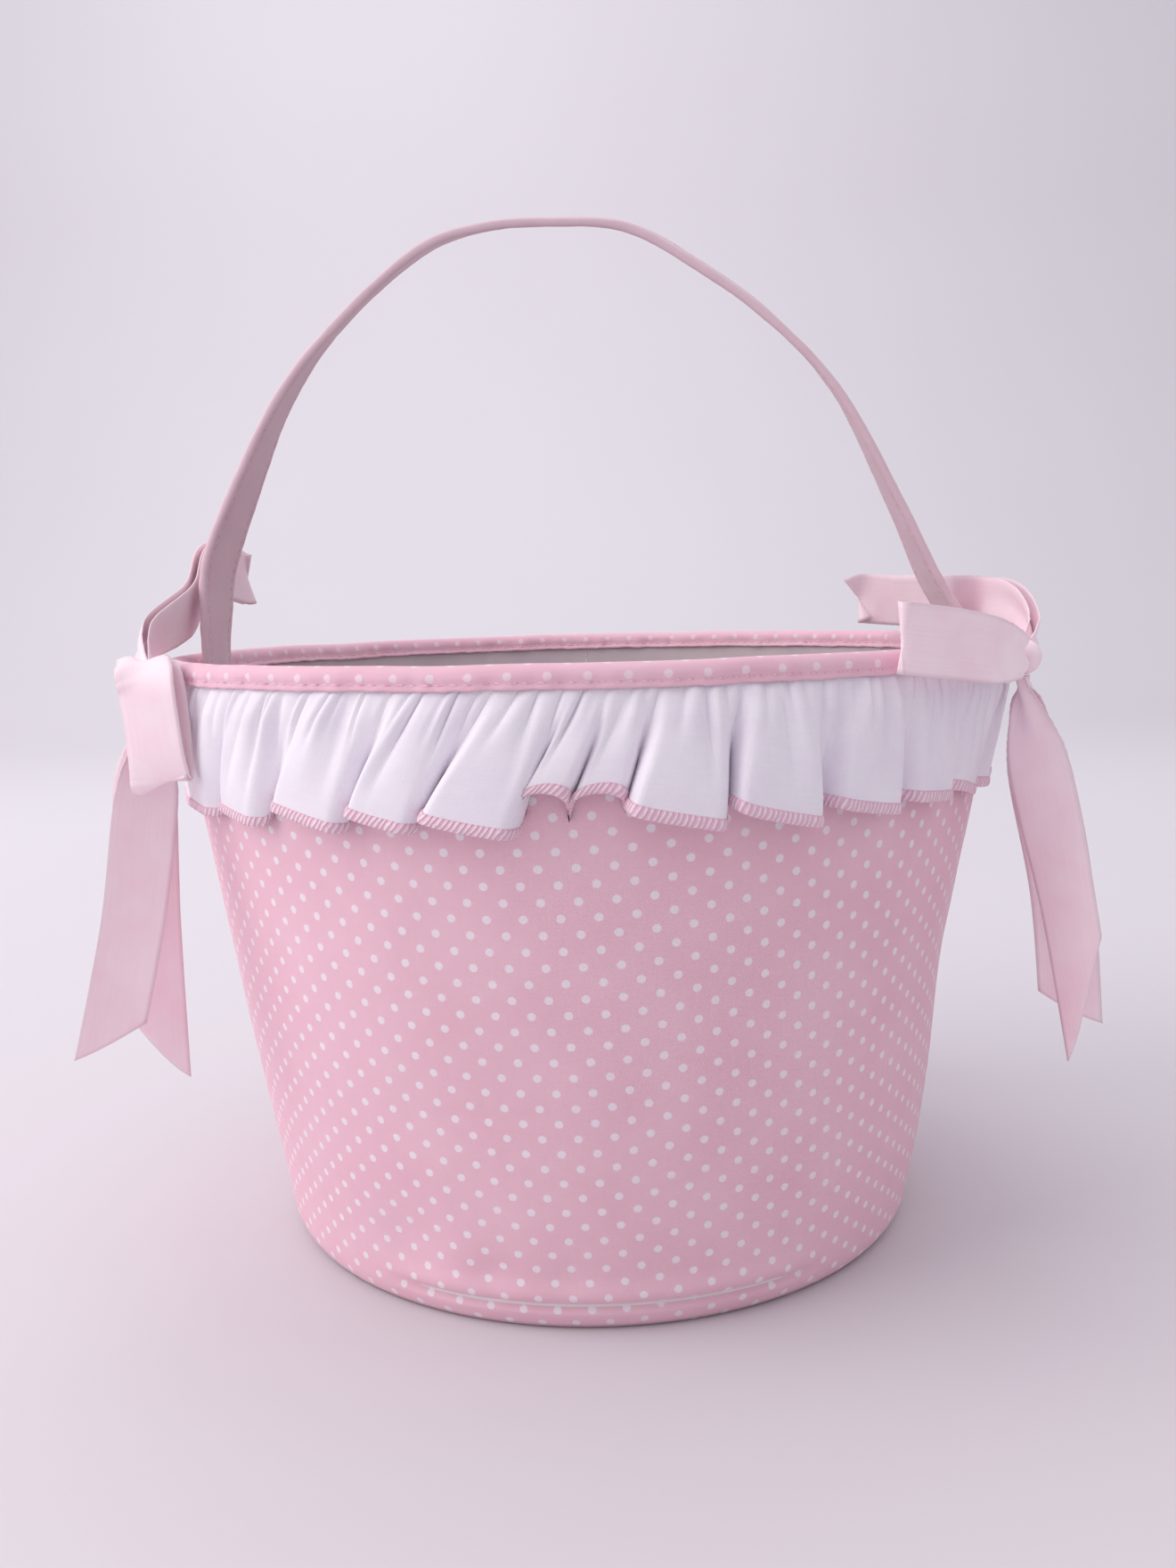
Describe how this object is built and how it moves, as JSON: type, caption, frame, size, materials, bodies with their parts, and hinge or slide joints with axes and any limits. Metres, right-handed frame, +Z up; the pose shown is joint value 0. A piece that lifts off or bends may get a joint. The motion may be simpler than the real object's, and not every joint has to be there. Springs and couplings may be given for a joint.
{
  "type": "easter basket",
  "caption": "Round sewn fabric Easter basket with a bound rim, a gathered ruffle, a swinging flat strap handle and a satin ribbon bow at each side.",
  "frame": {"origin": "centre of the base on the surface it stands on", "axes": "+Z up; the feet of the handle lie on the X axis; the bows sit towards -Y, the front"},
  "size_m": [0.2682, 0.2466, 0.2884],
  "materials": {
    "dotted_cloth": "printed pale pink cotton with small white dots",
    "binding_cloth": "printed pink cotton binding with small white dots",
    "lining_cloth": "plain off-white lining cloth",
    "felt": "white non-woven stiffening felt",
    "board": "stiff grey-beige fibre board",
    "ruffle_cloth": "white plain-weave cotton",
    "overlock_thread": "pink and white overlocking thread",
    "thread": "pale pink sewing thread",
    "strap_cloth": "plain dusty pink cotton",
    "satin_ribbon": "single-face satin ribbon, pale pink"
  },
  "bodies": {
    "bucket": {"outer_wall": "dotted_cloth", "wall_felt": "felt", "wall_lining": "lining_cloth", "outer_base": "dotted_cloth", "seam_allowance": "dotted_cloth", "base_board": "board", "base_lining": "lining_cloth", "back_seam_thread": "thread", "lining_seam_thread": "thread", "rim_binding": "binding_cloth", "binding_topstitch": "thread", "ruffle": "ruffle_cloth", "ruffle_overlock": "overlock_thread", "strap_end_left": "strap_cloth", "strap_end_right": "strap_cloth", "strap_tack_left": "thread", "strap_tack_right": "thread", "bow_left_knot": "satin_ribbon", "bow_left_loop_front": "satin_ribbon", "bow_left_loop_back": "satin_ribbon", "bow_right_knot": "satin_ribbon", "bow_right_loop_front": "satin_ribbon", "bow_right_loop_back": "satin_ribbon"},
    "handle": {"handle_strap": "strap_cloth", "handle_core": "felt", "handle_topstitch": "thread", "strap_foot_left": "strap_cloth", "strap_foot_right": "strap_cloth"},
    "tail_left_front": {"tail_left_front": "satin_ribbon"},
    "tail_left_back": {"tail_left_back": "satin_ribbon"},
    "tail_right_front": {"tail_right_front": "satin_ribbon"},
    "tail_right_back": {"tail_right_back": "satin_ribbon"}
  },
  "joints": [
    {"name": "handle_swing", "type": "hinge", "parent": "bucket", "child": "handle", "pos_m": [0, 0, 0.163], "axis": [1, 0, 0], "range_deg": [-55, 55]},
    {"name": "tail_left_front_swing", "type": "hinge", "parent": "bucket", "child": "tail_left_front", "pos_m": [-0.11219, -0.05232, 0.1605], "axis": [-0.4226, 0.9063, 0], "range_deg": [-2, 95]},
    {"name": "tail_left_back_swing", "type": "hinge", "parent": "bucket", "child": "tail_left_back", "pos_m": [-0.11219, -0.05232, 0.1605], "axis": [-0.4226, 0.9063, 0], "range_deg": [-2, 95]},
    {"name": "tail_right_front_swing", "type": "hinge", "parent": "bucket", "child": "tail_right_front", "pos_m": [0.11219, -0.05232, 0.1605], "axis": [-0.4226, -0.9063, 0], "range_deg": [-2, 95]},
    {"name": "tail_right_back_swing", "type": "hinge", "parent": "bucket", "child": "tail_right_back", "pos_m": [0.11219, -0.05232, 0.1605], "axis": [-0.4226, -0.9063, 0], "range_deg": [-2, 95]}
  ]
}
